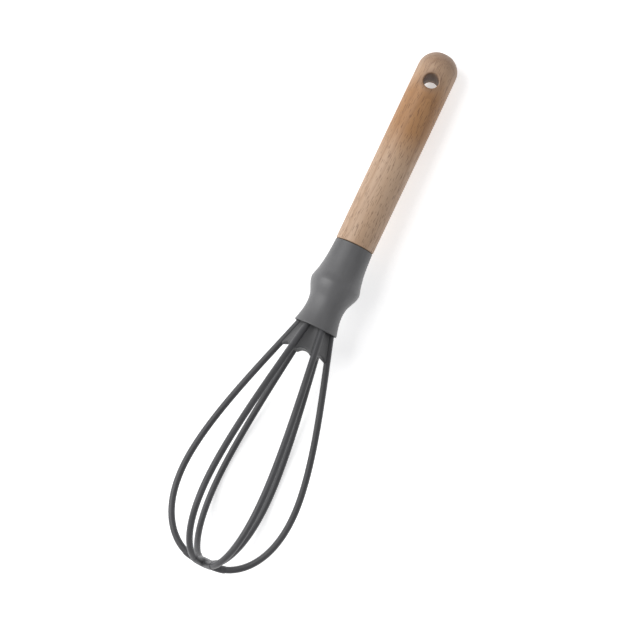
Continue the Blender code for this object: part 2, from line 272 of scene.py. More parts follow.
class Finish(Tree):
    """A material with a Principled shader, which knows its place on the straight whisk."""

    def __init__(self, name, **constants):
        self.material = bpy.data.materials.new(name)
        self.material.use_nodes = True
        super().__init__(self.material.node_tree)
        self.shader = self.made_in.nodes["Principled BSDF"]
        for socket, value in constants.items():
            self.shader.inputs[socket.replace("_", " ")].default_value = value
        here = self.node("ShaderNodeTexCoord", out="Object")
        turned_back = straighten.to_euler()
        values = {"Vector": here, "Location": straighten.translation, "Rotation": turned_back}
        self.place = self.node("ShaderNodeMapping", None, values)
        self.x, self.y, self.z = (self.part_of_place(axis) for axis in "XYZ")

    def part_of_place(self, axis):
        return self.node("ShaderNodeSeparateXYZ", None, {0: self.place}, axis)

    def noise(self, per_metre, detail=2.0):
        """Noise from 0 to 1, with so many features to the metre along each axis."""
        values = {0: self.place, 1: per_metre}
        stretched = self.node("ShaderNodeVectorMath", {"operation": "MULTIPLY"}, values)
        return self.node("ShaderNodeTexNoise", None, {"Vector": stretched, "Scale": 1.0, "Detail": detail})

    def mix(self, factor, first, second):
        """Blend two colours."""
        return self.node("ShaderNodeMix", {"data_type": "RGBA"}, {0: factor, 6: first, 7: second}, 2)

    def ease(self, value, low, high, start=0.0, end=1.0):
        """Go smoothly from start to end as the value goes from low to high."""
        values = {"Value": value, "From Min": low, "From Max": high, "To Min": start, "To Max": end}
        return self.node("ShaderNodeMapRange", {"interpolation_type": "SMOOTHSTEP"}, values)

    def set(self, socket, value):
        self.feed(self.shader.inputs[socket], value)

    def bump(self, height, depth):
        """Feed a height to the shader's normal; depth is how far a height of 1 stands up."""
        self.set("Normal", self.node("ShaderNodeBump", None, {"Height": height, "Distance": depth}))


# %% [markdown]
# ## Beech
# The grip is oiled beech, turned from straight-grained wood. Three things make beech look like
# beech: growth rings a few millimetres apart, which show as long lines on the side and as arcs at
# the tip, tiny dark flecks along the grain, and a pink-brown colour that is never even. The rings
# are a solid pattern: the distance from a far-off heart line, which is not quite parallel to the
# handle. So sides and end agree by themselves, as they do on a lathe. Hands darken the tip. In and
# round the hang hole the wood is darkened too: partly grime from hooks, partly painted shade.

# %% Beech finish
RING_SPACING = 2.3 * MILLIMETRE
HEART_ASIDE = 15 * MILLIMETRE  # where the tree's heart line passes the whisk's axis
HEART_BELOW = 31 * MILLIMETRE


def growth_rings(wood):
    """A saw-tooth from 0 to 1 across each growth ring."""
    wander = wood.noise((13, 50, 50), 2.0)
    aside = wood.y - HEART_ASIDE + wood.x * 0.030
    below = wood.z + HEART_BELOW - wood.x * 0.022
    distance = (aside * aside + below * below) ** 0.5
    return (distance / RING_SPACING + wander * 1.6) % 1.0


def beech():
    """Oiled beech with growth rings, flecks, a worn darker tip, and grime with painted shade in and round
    the hole.
    """
    wood = Finish("oiled_beech")
    late_wood = growth_rings(wood) ** 4.0
    fibre = wood.noise((40, 2400, 2400), 3.0)
    streak = wood.noise((8, 380, 380), 2.0)
    fleck = wood.ease(wood.noise((300, 2600, 2600), 0.0), 0.64, 0.72)
    cloud = wood.noise((34, 60, 60), 3.0)
    from_collar = wood.ease(wood.x, joint_x + 0.044, joint_x + 0.070, 0.12, 0.95)
    to_tip = wood.ease(wood.x, LENGTH - 0.028, LENGTH - 0.010, 1.0, 0.25)
    base = wood.mix(from_collar * to_tip + (cloud - 0.5) * 0.8, PALE_BEECH, WARM_BEECH)
    base = wood.mix(late_wood * 0.34 + (streak - 0.5) * 0.7, base, BROWN_BEECH)
    base = wood.mix((fibre - 0.5) * 0.9, base, BROWN_BEECH)
    base = wood.mix(fleck * 0.55, base, FLECK_BEECH)
    # Hand wear darkens the tip. In and round the hang hole the darkening is partly hook grime, partly
    # painted shade.
    hole_way = ((wood.x - hang_hole_x) * (wood.x - hang_hole_x) + wood.y * wood.y) ** 0.5
    wear_and_hole_shade = wood.ease(wood.x, LENGTH - 0.016, LENGTH - 0.001, 0.0, 0.55)
    wear_and_hole_shade = wear_and_hole_shade + wood.ease(hole_way, 0.0040, 0.0075, 0.45, 0.0)
    base = wood.mix(wear_and_hole_shade, base, WORN_AND_SHADED_BEECH)
    wood.set("Base Color", base)
    wood.set("Roughness", 0.50 + (fibre - 0.5) * 0.3)
    wood.bump(fibre * 0.4 - fleck * 0.7 - late_wood * 0.15, 0.05 * MILLIMETRE)
    return wood.material


PALE_BEECH = colour(186, 157, 131)
WARM_BEECH = colour(166, 122, 80)
BROWN_BEECH = colour(126, 88, 58)
FLECK_BEECH = colour(88, 58, 38)
# Colour of the worn tip, and of the grime and painted shade at the hang hole.
WORN_AND_SHADED_BEECH = colour(128, 103, 86)
BEECH = beech()
print("beech:", len(BEECH.node_tree.nodes), "nodes, rings every", RING_SPACING)

# %% [markdown]
# ## Grey silicone
# The collar and the wire coating are moulded silicone: neutral dark grey, matt, with a faint skin
# that scatters light, and never quite even after washing. The colour changes slowly by a few
# percent, dust and rubbing make it lighter where fingers and bowls touch it, and a fine grain from
# the mould's surface breaks up the highlight. One function makes each grey from its own numbers.

# %% Silicone finishes
def silicone(name, base, rubbed, rough, worn_from, worn_to):
    """Matt moulded silicone, rubbed lighter between two places on the axis."""
    skin = Finish(name, Sheen_Weight=0.12, Sheen_Roughness=0.4)
    cloud = skin.noise((60, 90, 90), 3.0)
    smear = skin.noise((25, 300, 300), 2.0)
    grain = skin.noise((5200, 5200, 5200), 2.0)
    middle = (worn_from + worn_to) / 2
    worn = skin.ease(skin.x, worn_from, middle) * skin.ease(skin.x, middle, worn_to, 1.0, 0.0)
    tone = worn * 0.35 + (cloud - 0.5) * 0.9 + (smear - 0.5) * 0.5 + 0.25
    skin.set("Base Color", skin.mix(tone, base, rubbed))
    skin.set("Roughness", rough - worn * 0.10 + (cloud - 0.5) * 0.25)
    skin.bump(grain + smear * 0.6, 0.012 * MILLIMETRE)
    return skin.material


near_foot = (hub_start - 0.02, 0.05)
COLLAR_GREY = silicone("grey_collar", colour(84, 84, 85), colour(106, 106, 107), 0.52, mouth_x, joint_x)
COATING_GREY = silicone("grey_wire_coating", colour(60, 60, 62), colour(82, 82, 84), 0.50, *near_foot)
PLUG_GREY = silicone("grey_plug", colour(70, 70, 71), colour(88, 88, 89), 0.6, plug_start, joint_x)
print("greys:", COLLAR_GREY.name, COATING_GREY.name, PLUG_GREY.name)

# %% [markdown]
# ## The hidden pieces
# Inside the collar sit the steel tang, the nylon wire holder and its steel clamp, and a steel
# wire runs inside each coating. They can't be seen on the closed whisk, but they are real pieces
# and keep their CAD shapes, so each gets a proper finish: fine turning lines round the tang and
# the clamp, drawing lines along the wires, and a slightly mottled, milky nylon.

# %% Steel and nylon
def steel(name, per_metre, rough):
    """Steel with fine lines, whose direction comes from the noise's features along each axis."""
    metal = Finish(name, Metallic=1.0)
    lines = metal.noise(per_metre, 2.0)
    stain = metal.noise((120, 260, 260), 3.0)
    base = metal.mix(stain, colour(176, 177, 180), colour(205, 206, 208))
    metal.set("Base Color", base)
    metal.set("Roughness", rough + (lines - 0.5) * 0.3)
    metal.bump(lines, 0.006 * MILLIMETRE)
    return metal.material


def nylon():
    """Natural nylon as it comes from the mould."""
    plastic = Finish("natural_nylon")
    cloud = plastic.noise((260, 260, 260), 3.0)
    plastic.set("Base Color", plastic.mix(cloud, colour(205, 202, 190), colour(228, 226, 216)))
    plastic.set("Roughness", 0.42 + (cloud - 0.5) * 0.3)
    plastic.bump(cloud, 0.02 * MILLIMETRE)
    return plastic.material


def refinish(names, finish):
    """Give CAD nodes another material in place of their own."""
    for name in names:
        nodes[name].data.materials.clear()
        nodes[name].data.materials.append(finish)


core_names = [name for name in sorted(nodes) if name.startswith("core_wire")]
refinish(core_names, steel("drawn_steel", (60, 9000, 9000), 0.32))
refinish(["tang", "clamp_ring"], steel("turned_steel", (9000, 60, 60), 0.30))
refinish(["wire_holder"], nylon())
print("refinished", core_names, "and the tang, clamp and holder")

# %% [markdown]
# ## Turning on a lathe
# The handle and the collar are turned shapes: an outline of (place on the axis, radius) is
# carried round the axis. Building the rings directly in bmesh keeps the rows and columns regular,
# so later steps can cut a hole through chosen rows or raise a line at a chosen angle. A point
# with radius zero becomes one vertex, which closes the pole.

# %% Lathe helpers
GAP = 0.3 * MILLIMETRE


def ring(body, x, radius, angles, lift=None):
    """One row of vertices round the axis, or a single vertex on it."""
    if radius == 0:
        return [body.verts.new((x, 0, 0))]
    made = []
    for angle in angles:
        reach = radius + (lift(x, radius, angle) if lift else 0)
        made.append(body.verts.new((x, reach * math.cos(angle), reach * math.sin(angle))))
    return made


def strip(body, first, second, keep=lambda column: True):
    """Faces between two rows, which may leave some columns open."""
    count = max(len(first), len(second))
    for i in range(count):
        if keep(i):
            j = (i + 1) % count
            corners = [first[i % len(first)], first[j % len(first)]]
            corners += [second[j % len(second)], second[i % len(second)]]
            body.faces.new(list(dict.fromkeys(corners)))


def round_angles(count):
    """Evenly spaced angles round the axis."""
    return [2 * math.pi * i / count for i in range(count)]


def corner(outline_x, radius, size, start, end, count=5):
    """An arc of an outline that rounds a corner: its centre, its size and its first and last angle."""
    turn = np.radians(np.linspace(start, end, count))
    return [(outline_x + size * math.cos(t), radius + size * math.sin(t)) for t in turn]


def finished(name, body, finish, sharp=40):
    """Turn a straight bmesh into a piece that lies where the whisk lies."""
    bmesh.ops.recalc_face_normals(body, faces=body.faces)
    mesh = bpy.data.meshes.new(name)
    body.to_mesh(mesh)
    body.free()
    return placed(name, mesh, finish, sharp)


def placed(name, mesh, finish, sharp=40):
    """Carry a straight mesh to the whisk's place, and make it an object at the origin."""
    mesh.transform(lay)
    mesh.materials.clear()
    mesh.materials.append(finish)
    mesh.shade_smooth()
    mesh.set_sharp_from_angle(angle=math.radians(sharp))
    piece = bpy.data.objects.new(name, mesh)
    bpy.context.scene.collection.objects.link(piece)
    print(name, len(mesh.polygons), "faces")
    return piece


# %% [markdown]
# ## The handle
# The blank is turned to a grip that swells a little towards the hand's heel and ends in a ball
# with a small flat, where it was parted from the lathe. At the other end a tenon, drilled for the
# steel tang, goes into the collar. The outline is one formula for the grip and one arc for the
# ball, so the radius is known anywhere, which the hang hole needs.

# %% Handle outline
shoulder_x = joint_x + GAP
neck_radius = radius_at("handle", shoulder_x + 0.6 * MILLIMETRE)
tenon_radius = radius_at("handle", tenon_x)
flat_radius = radius_at("handle", LENGTH)
BALL_DEPTH = 10 * MILLIMETRE
TENON_EDGE = 0.5 * MILLIMETRE  # rounding of the tenon's end
SHOULDER_EDGE = 0.7 * MILLIMETRE  # rounding of the grip, where it meets the collar
ball_x = LENGTH - BALL_DEPTH * math.sqrt(1 - (flat_radius / handle_radius) ** 2)
_, tang_end, tang_radius = span("tang")


def grip_radius(x):
    """Radius of the handle anywhere between its shoulder and its tip."""
    if x > ball_x:
        return handle_radius * math.sqrt(max(1 - ((x - ball_x) / BALL_DEPTH) ** 2, 0))
    part = (x - shoulder_x) / (ball_x - shoulder_x)
    return handle_radius - (handle_radius - neck_radius) * (1 - part) ** 2


def handle_outline():
    """Rows of the handle from the blind end of its bore, over the tenon and grip, to the tip."""
    bore = tang_radius + GAP
    rows = [(tang_end + GAP, 0), (tang_end + GAP, bore), (tenon_x, bore)]
    rows += corner(tenon_x + TENON_EDGE, tenon_radius - TENON_EDGE, TENON_EDGE, 180, 90)
    rows += [(shoulder_x, tenon_radius)]
    edge = SHOULDER_EDGE
    rows += corner(shoulder_x + edge, grip_radius(shoulder_x) - edge, edge, 180, 90, 7)
    rows += [(x, grip_radius(x)) for x in np.linspace(shoulder_x + 2 * edge, ball_x, 108)]
    last = math.asin(flat_radius / handle_radius)
    for turn in np.linspace(math.pi / 2, last, 22)[1:]:
        rows.append((ball_x + BALL_DEPTH * math.cos(turn), handle_radius * math.sin(turn)))
    rows += [(LENGTH, flat_radius * 0.93), (LENGTH, flat_radius * 0.5), (LENGTH, 0)]
    return rows


print(f"grip {neck_radius:.4f} to {handle_radius:.4f}, flat {flat_radius:.4f}, ball from {ball_x:.4f}")

# %% [markdown]
# ## The hang hole
# A Boolean would cut this hole, but it leaves long thin faces round the rim that spoil the
# shading of a curved surface. Instead a window of rows and columns is left open above and below,
# and rings of vertices lead from the square window to a circle, over an eased edge, and down
# through the wood to the window on the other side.

# %% Handle with its hole
HOLE_EDGE = 1.0 * MILLIMETRE
WINDOW = 6.6 * MILLIMETRE  # half the length of the open window
HANDLE_COLUMNS = 96
HOLE_RADIUS = 4.0 * MILLIMETRE


def window_rim(rows, columns, middle):
    """The vertices round an open window, in order."""
    low, high = rows[0], rows[-1]
    left, right = middle - columns, middle + columns
    rim = [low[j] for j in range(left, right)]
    rim += [row[right] for row in rows[:-1]]
    rim += [high[j] for j in range(right, left, -1)]
    rim += [row[left] for row in reversed(rows[1:])]
    return rim


def hole_rings(body, rim, sign):
    """Rings from a window's rim over the eased edge and down to the wall of the hole."""
    start = [vertex.co.copy() for vertex in rim]
    turns = [math.atan2(point.y, point.x - hang_hole_x) for point in start]
    rings = [rim]
    outer = HOLE_RADIUS + HOLE_EDGE
    for part in np.linspace(0, 1, 8)[1:]:
        made = []
        for point, turn in zip(start, turns):
            x = point.x + part * (hang_hole_x + outer * math.cos(turn) - point.x)
            y = point.y + part * (outer * math.sin(turn) - point.y)
            z = sign * math.sqrt(grip_radius(x) ** 2 - y * y)
            made.append(body.verts.new((x, y, z)))
        rings.append(made)
    for ease in np.radians(np.linspace(0, 90, 7)[1:]):
        reach = outer - HOLE_EDGE * math.sin(ease)
        drop = HOLE_EDGE * (1 - math.cos(ease))
        made = []
        for turn in turns:
            x = hang_hole_x + reach * math.cos(turn)
            y = reach * math.sin(turn)
            z = sign * (math.sqrt(grip_radius(x) ** 2 - y * y) - drop)
            made.append(body.verts.new((x, y, z)))
        rings.append(made)
    for first, second in zip(rings, rings[1:]):
        strip(body, first, second)
    return rings[-1]


def make_handle():
    """The turned handle, with the hang hole let in."""
    body = bmesh.new()
    angles = round_angles(HANDLE_COLUMNS)
    outline = handle_outline()
    rows = [ring(body, x, radius, angles) for x, radius in outline]
    near = [i for i, (x, _) in enumerate(outline) if abs(x - hang_hole_x) < WINDOW]
    half = HANDLE_COLUMNS // 8
    top, bottom = HANDLE_COLUMNS // 4, 3 * HANDLE_COLUMNS // 4

    def outside_windows(column):
        return not any(-half <= column - middle < half for middle in (top, bottom))

    for i in range(len(rows) - 1):
        open_here = near[0] <= i < near[-1]
        strip(body, rows[i], rows[i + 1], outside_windows if open_here else lambda column: True)
    window = rows[near[0] : near[-1] + 1]
    upper = hole_rings(body, window_rim(window, half, top), 1)
    lower = hole_rings(body, window_rim(window, half, bottom), -1)
    lower = [min(lower, key=lambda v: (v.co.x - u.co.x) ** 2 + (v.co.y - u.co.y) ** 2) for u in upper]
    wall = [upper]
    for part in np.linspace(0, 1, 9)[1:-1]:
        wall.append([body.verts.new(u.co.lerp(v.co, part)) for u, v in zip(upper, lower)])
    wall.append(lower)
    for first, second in zip(wall, wall[1:]):
        strip(body, first, second)
    return finished("beech_handle", body, BEECH, 50)


handle = make_handle()
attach(handle, "root")
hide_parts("handle")

# %% [markdown]
# ## The collar
# The collar is one moulding: a straight sleeve round the tenon, a bulge that stops the fingers, a
# neck, and a thin flared lip. Its outline is read from the CAD collar's rings and made smooth.
# The mould closed on it from above and below, which leaves a hair-thin raised line down each
# side. The line is real geometry: a few extra columns stand close together there.

# %% Collar
LIP_ROUND = 0.28 * MILLIMETRE
LINE_HEIGHT = 0.07 * MILLIMETRE
collar_rings = rings_of("collar")
outer_points = [(x, radii.max()) for x, radii in collar_rings.items()]
bore_points = [(x, radii.min()) for x, radii in collar_rings.items() if np.ptp(radii) > GAP]
bore_radius = bore_points[-1][1]


def smoothed(points, count):
    """Points on a smooth curve through an outline's points."""
    xs, radii = np.array(points).T
    slopes = np.gradient(radii, xs)
    made = []
    for x in np.linspace(xs[0], xs[-1], count):
        i = min(np.searchsorted(xs, x, side="right") - 1, len(xs) - 2)
        width = xs[i + 1] - xs[i]
        t = (x - xs[i]) / width
        level = (1 + 2 * t) * (1 - t) ** 2 * radii[i] + t * t * (3 - 2 * t) * radii[i + 1]
        lean = t * (1 - t) ** 2 * slopes[i] - t * t * (1 - t) * slopes[i + 1]
        made.append((x, level + lean * width))
    return made


def bore_at(x):
    """Inner radius of the collar, from its flared mouth to its straight bore."""
    places, radii = zip(*bore_points)
    return float(np.interp(x, places, radii))


def mould_line(x, radius, angle):
    """How far the mould's joint line stands proud of the outside at this angle."""
    outside = radius > bore_at(x) + 0.4 * MILLIMETRE
    aside = abs(math.sin(angle)) * radius
    return LINE_HEIGHT * math.exp(-((aside / (0.12 * MILLIMETRE)) ** 2)) if outside else 0


def collar_angles():
    """Even angles, with more of them close to both joint lines."""
    close = [math.radians(step) for step in (-2.4, -1.6, -1.0, -0.5, 0, 0.5, 1.0, 1.6, 2.4)]
    even = [a for a in round_angles(120) if abs(math.sin(a)) > math.sin(math.radians(2.9))]
    lines = [middle + step for middle in (0, math.pi) for step in close]
    return sorted((a + math.radians(10)) % (2 * math.pi) - math.radians(10) for a in even + lines)


def make_collar():
    """The moulded collar, with rounded lip and top edge."""
    outer = smoothed(outer_points, 90)
    outer = [point for point in outer if mouth_x + LIP_ROUND < point[0] < joint_x - LIP_ROUND]
    lip = outer[0][1] - LIP_ROUND
    top = outer[-1][1] - LIP_ROUND
    outline = corner(mouth_x + LIP_ROUND, lip, LIP_ROUND, 270, 90, 9) + outer
    outline += corner(joint_x - LIP_ROUND, top, LIP_ROUND, 90, 0)
    outline += [(joint_x, bore_radius + LIP_ROUND)]
    outline += corner(joint_x - LIP_ROUND, bore_radius + LIP_ROUND, LIP_ROUND, 0, -90)[1:]
    inner = np.linspace(joint_x - 2 * MILLIMETRE, mouth_x + 2 * LIP_ROUND, 30)
    outline += [(x, bore_at(x)) for x in inner]
    body = bmesh.new()
    angles = collar_angles()
    rows = [ring(body, x, radius, angles, mould_line) for x, radius in outline]
    for first, second in zip(rows, rows[1:] + rows[:1]):
        strip(body, first, second)
    return finished("silicone_collar", body, COLLAR_GREY)


collar = make_collar()
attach(collar, "root")
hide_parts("collar")

# %% [markdown]
# ## The coated wires
# Six equal legs leave the crossing, bow out to the widest place and come together in the neck.
# They repeat and follow a path, so Geometry Nodes make them: one guide curve, a round section
# with a faint mould line on two sides, and six instances turned round the axis. The guide is
# a Bezier curve with three points. The tree's inputs are its sizes. The second and third loops
# don't stand exactly 60 degrees apart, so one input leans them towards each other.

# %% Guide curve for one leg
CROSSING_X = 2.5 * MILLIMETRE
WIRE_RADIUS = 1.7 * MILLIMETRE
WIDEST_X = 41.6 * MILLIMETRE
CAGE_RADIUS = 30.8 * MILLIMETRE
NECK_END = (148 * MILLIMETRE, 4.7 * MILLIMETRE)
NECK_SLOPE = 0.24
NECK_PULL = 25.1 * MILLIMETRE  # lengths of the guide's handles, from the neck down to the foot
WIDEST_PULL_UP = 31 * MILLIMETRE
WIDEST_PULL_DOWN = 29 * MILLIMETRE
FOOT_PULL = 9.5 * MILLIMETRE
LEGS = len(leg_angles)


def guide_points():
    """Each guide point with its two handles, as (x along the axis, distance from it)."""
    rim_radius = hub_radius + GAP
    rim = (CROSSING_X, rim_radius)
    widest = (WIDEST_X, CAGE_RADIUS)
    back = Vector((-1, NECK_SLOPE)).normalized() * NECK_PULL
    entry = (NECK_END[0] + back.x, NECK_END[1] + back.y)
    low = (WIDEST_X - WIDEST_PULL_DOWN, CAGE_RADIUS)
    high = (WIDEST_X + WIDEST_PULL_UP, CAGE_RADIUS)
    lead = (CROSSING_X, rim_radius - 1 * MILLIMETRE)
    pull = (CROSSING_X, rim_radius + FOOT_PULL)
    onward = (NECK_END[0] - back.x * 0.1, NECK_END[1] - back.y * 0.1)
    return [(lead, rim, pull), (low, widest, high), (entry, NECK_END, onward)]


def guide_curve():
    """The middle line of the leg that starts along +Y."""
    curve = bpy.data.curves.new("leg_guide", "CURVE")
    curve.dimensions = "3D"
    curve.resolution_u = 64
    spline = curve.splines.new("BEZIER")
    spline.bezier_points.add(2)
    for point, (before, here, after) in zip(spline.bezier_points, guide_points()):
        point.handle_left_type = point.handle_right_type = "FREE"
        point.handle_left = (*before, 0)
        point.co = (*here, 0)
        point.handle_right = (*after, 0)
    guide = bpy.data.objects.new("leg_guide", curve)
    bpy.context.scene.collection.objects.link(guide)
    return guide


# %% Geometry Nodes: coated wires
def group_tree(name, inputs):
    """A geometry tree whose inputs are (type, name, default), and its two end nodes."""
    group = bpy.data.node_groups.new(name, "GeometryNodeTree")
    group.interface.new_socket("Geometry", in_out="INPUT", socket_type="NodeSocketGeometry")
    for kind, label, value in inputs:
        socket = group.interface.new_socket(label, in_out="INPUT", socket_type=kind)
        socket.default_value = value
    group.interface.new_socket("Geometry", in_out="OUTPUT", socket_type="NodeSocketGeometry")
    return group, group.nodes.new("NodeGroupInput"), group.nodes.new("NodeGroupOutput")


def coated_wires_tree(finish):
    """Sweep a round section along the guide, and turn copies of it round the axis."""
    sizes = [("NodeSocketInt", "Legs", 6), ("NodeSocketFloat", "Wire radius", 0.002)]
    sizes += [("NodeSocketInt", "Sides", 12), ("NodeSocketInt", "Rings", 40)]
    sizes += [("NodeSocketFloat", "Mould line", 0.0), ("NodeSocketFloat", "Spread", 0.0)]
    group, given, result = group_tree("Coated wires", sizes)
    tree = Tree(group)
    given = {socket.name: Socket(tree, socket) for socket in given.outputs if socket.name}
    rings = {0: given["Geometry"], "Count": given["Rings"]}
    line = tree.node("GeometryNodeResampleCurve", None, rings)
    section = {"Resolution": given["Sides"], "Radius": given["Wire radius"]}
    circle = tree.node("GeometryNodeCurvePrimitiveCircle", None, section)
    number = tree.node("GeometryNodeInputIndex")
    on_line = (number % (given["Sides"] / 2.0)) < 0.5
    push = on_line * given["Mould line"] / given["Wire radius"]
    position = tree.node("GeometryNodeInputPosition")
    pushed = tree.node("ShaderNodeVectorMath", {"operation": "SCALE"}, {0: position, "Scale": push})
    circle = tree.node("GeometryNodeSetPosition", None, {0: circle, "Offset": pushed})
    sweep = {"Curve": line, "Profile Curve": circle, "Fill Caps": True}
    leg = tree.node("GeometryNodeCurveToMesh", None, sweep)
    leg = tree.node("GeometryNodeSetShadeSmooth", None, {0: leg})
    spots = tree.node("GeometryNodeMeshLine", None, {"Count": given["Legs"], "Offset": (0, 0, 0)})
    number = tree.node("GeometryNodeInputIndex")
    place = number % (given["Legs"] / 2.0)
    lean = ((place > 0.5) - 2.0 * (place > 1.5)) * given["Spread"]
    turn = tree.node("ShaderNodeCombineXYZ", None, {"X": number * (2 * math.pi) / given["Legs"] + lean})
    spread = {"Points": spots, "Instance": leg, "Rotation": turn}
    legs = tree.node("GeometryNodeInstanceOnPoints", None, spread)
    legs = tree.node("GeometryNodeRealizeInstances", None, {0: legs})
    legs = tree.node("GeometryNodeSetMaterial", None, {0: legs, "Material": finish})
    tree.feed(result.inputs[0], legs)
    return group


def grown(name, carrier, group, values, finish):
    """Run a geometry tree on an object, keep the result as a plain piece, and drop the carrier."""
    modifier = carrier.modifiers.new("growth", "NODES")
    modifier.node_group = group
    sockets = {item.name: item.identifier for item in group.interface.items_tree if item.in_out == "INPUT"}
    for label, value in values.items():
        modifier[sockets[label]] = value
    bpy.context.view_layer.update()
    graph = bpy.context.evaluated_depsgraph_get()
    mesh = bpy.data.meshes.new_from_object(carrier.evaluated_get(graph))
    carrier.modifiers.remove(modifier)
    bpy.data.objects.remove(carrier)
    return placed(name, mesh, finish)


guide = guide_curve()
wire_sizes = {"Legs": LEGS, "Wire radius": WIRE_RADIUS, "Sides": 36, "Rings": 150}
wire_sizes["Mould line"] = 0.04 * MILLIMETRE
wire_sizes["Spread"] = leg_angles[1] - 2 * math.pi / LEGS
wires = grown("coated_wires", guide, coated_wires_tree(COATING_GREY), wire_sizes, COATING_GREY)
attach(wires, "root")
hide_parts(*leg_names)

# %% [markdown]
# ## The moulded crossing
# Where the three wires cross at the foot, silicone is moulded over them, so they don't click and
# the joint stays low. A six-way joint is hard to sweep and easy to subdivide: a coarse cage of
# quads, six arms round a shallow button, which Subdivision Surface turns into smooth arms
# with soft webs between them. The arms lap over the coated wires for a few millimetres.

# %% Crossing
ARM_RADIUS = 1.95 * MILLIMETRE
SHRINK = 0.902  # a subdivided ring of eight ends up this much smaller than its cage
SECTION = 8
ARM_END = 11.5 * MILLIMETRE  # from the axis, where an arm stops on its wire
TOP = (1.00, 3.0 * MILLIMETRE)  # of an arm's root: height, as a part of half the button, and radius
VALLEY = (0.82, 3.9 * MILLIMETRE)  # between two arms, the same
WEB_RADIUS = 5.4 * MILLIMETRE
CROWN = 1.12  # height of the button's middle


def polar(radius, angle):
    """A point round the axis as (y, z)."""
    return radius * math.cos(angle), radius * math.sin(angle)


def bezier_points(start, pull, low, end, count):
    """Points along one cubic curve, as (x, distance from the axis)."""
    made = []
    for t in np.linspace(0, 1, count):
        weights = ((1 - t) ** 3, 3 * (1 - t) ** 2 * t, 3 * (1 - t) * t * t, t**3)
        point = sum(w * np.array(part) for w, part in zip(weights, (start, pull, low, end)))
        made.append(tuple(point))
    return made


def leg_line(count):
    """The leg's middle line from the crossing outwards, as (x, distance from the axis)."""
    (_, start, pull), (low, end, _), _ = guide_points()
    return bezier_points(start, pull, low, end, count)


def arm_ring(body, place, way, angle, radius):
    """Eight cage vertices round an arm, starting at the side that faces into the balloon."""
    outward = Vector((0, math.cos(angle), math.sin(angle)))
    across = Vector((0, -math.sin(angle), math.cos(angle)))
    inward = Vector((way[1], 0, 0)) - outward * way[0]
    centre = Vector((place[0], 0, 0)) + outward * place[1]
    made = []
    for i in range(SECTION):
        turn = 2 * math.pi * i / SECTION
        offset = inward * math.cos(turn) + across * math.sin(turn)
        made.append(body.verts.new(centre + offset * radius / SHRINK))
    return made


def make_crossing():
    """Six arms round a shallow button, subdivided."""
    body = bmesh.new()
    half = (hub_end - hub_start) / 2
    middle = (hub_end + hub_start) / 2
    centre = {sign: body.verts.new((middle + sign * half * CROWN, 0, 0)) for sign in (1, -1)}
    tops, webs = {}, {}
    following = leg_angles[1:] + [leg_angles[0] + 2 * math.pi]
    for leg, (angle, next_angle) in enumerate(zip(leg_angles, following)):
        between = (angle + next_angle) / 2
        for sign in (1, -1):
            spot = (middle + sign * half * TOP[0], *polar(TOP[1], angle))
            tops[leg, sign] = body.verts.new(spot)
            spot = (middle + sign * half * VALLEY[0], *polar(VALLEY[1], between))
            webs[leg, sign] = body.verts.new(spot)
        webs[leg, 0] = body.verts.new((middle, *polar(WEB_RADIUS, between)))
    line = [point for point in leg_line(28) if point[1] < ARM_END]
    line = [line[i] for i in (0, 2, 4, len(line) - 1)]
    for leg, angle in enumerate(leg_angles):
        left, right = leg, (leg - 1) % LEGS
        base = [tops[leg, 1], webs[left, 1], webs[left, 0], webs[left, -1]]
        base += [tops[leg, -1], webs[right, -1], webs[right, 0], webs[right, 1]]
        rings = [base]
        for i, place in enumerate(line):
            ahead = line[min(i + 1, len(line) - 1)]
            behind = line[max(i - 1, 0)]
            way = np.subtract(ahead, behind)
            way = way / np.linalg.norm(way)
            rings.append(arm_ring(body, place, way, angle, ARM_RADIUS))
        beyond = np.add(line[-1], way * 0.35 * MILLIMETRE)
        rings.append(arm_ring(body, line[-1], way, angle, ARM_RADIUS * 0.97))
        rings.append(arm_ring(body, beyond, way, angle, WIRE_RADIUS * 0.8))
        for first, second in zip(rings, rings[1:]):
            strip(body, first, second)
        body.faces.new(rings[-1])
        for sign in (1, -1):
            body.faces.new([centre[sign], webs[right, sign], tops[leg, sign], webs[left, sign]])
    bmesh.ops.recalc_face_normals(body, faces=body.faces)
    mesh = bpy.data.meshes.new("crossing_cage")
    body.to_mesh(mesh)
    body.free()
    cage = bpy.data.objects.new("crossing_cage", mesh)
    bpy.context.scene.collection.objects.link(cage)
    rounding = cage.modifiers.new("rounding", "SUBSURF")
    rounding.levels = rounding.render_levels = 3
    bpy.context.view_layer.update()
    graph = bpy.context.evaluated_depsgraph_get()
    smooth = bpy.data.meshes.new_from_object(cage.evaluated_get(graph))
    bpy.data.objects.remove(cage)
    return placed("moulded_crossing", smooth, COATING_GREY)


crossing = make_crossing()
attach(crossing, "root")
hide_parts("crossing_hub")

# %% [markdown]
# ## The neck plug
# Batter must not run into the collar, so soft silicone fills its mouth. The filling goes on for
# a finger's width between the wires as a flared plug. It clings to each wire and sags
# between them, and its rim runs a little further down each wire. All of that is one formula of the
# place along the plug and the angle to the nearest wire, worked out on rings.

# %% Neck plug
CLING_REACH = 1.3 * MILLIMETRE
SAG = 1.7 * MILLIMETRE  # of the plug's surface, midway between two wires
TONGUE = 2.2 * MILLIMETRE  # how much further the rim runs down a wire
RIM_ROUND = 0.9 * MILLIMETRE
DISH = 2.0 * MILLIMETRE
WIRE_CLEAR = 0.4 * MILLIMETRE  # of the plug's surface inside a wire's middle line, at the wire
SHADOW_GAP = 0.1 * MILLIMETRE  # between plug and collar
MOUTH_STEP = 1.2 * MILLIMETRE  # how far inside the mouth the plug's flare begins


def wire_ring_radius(x):
    """Distance from the axis to the wires' middle lines in the neck."""
    _, (_, start, pull), (low, end, _) = guide_points()
    places, radii = zip(*bezier_points(start, pull, low, end, 60))
    return float(np.interp(x, places, radii))


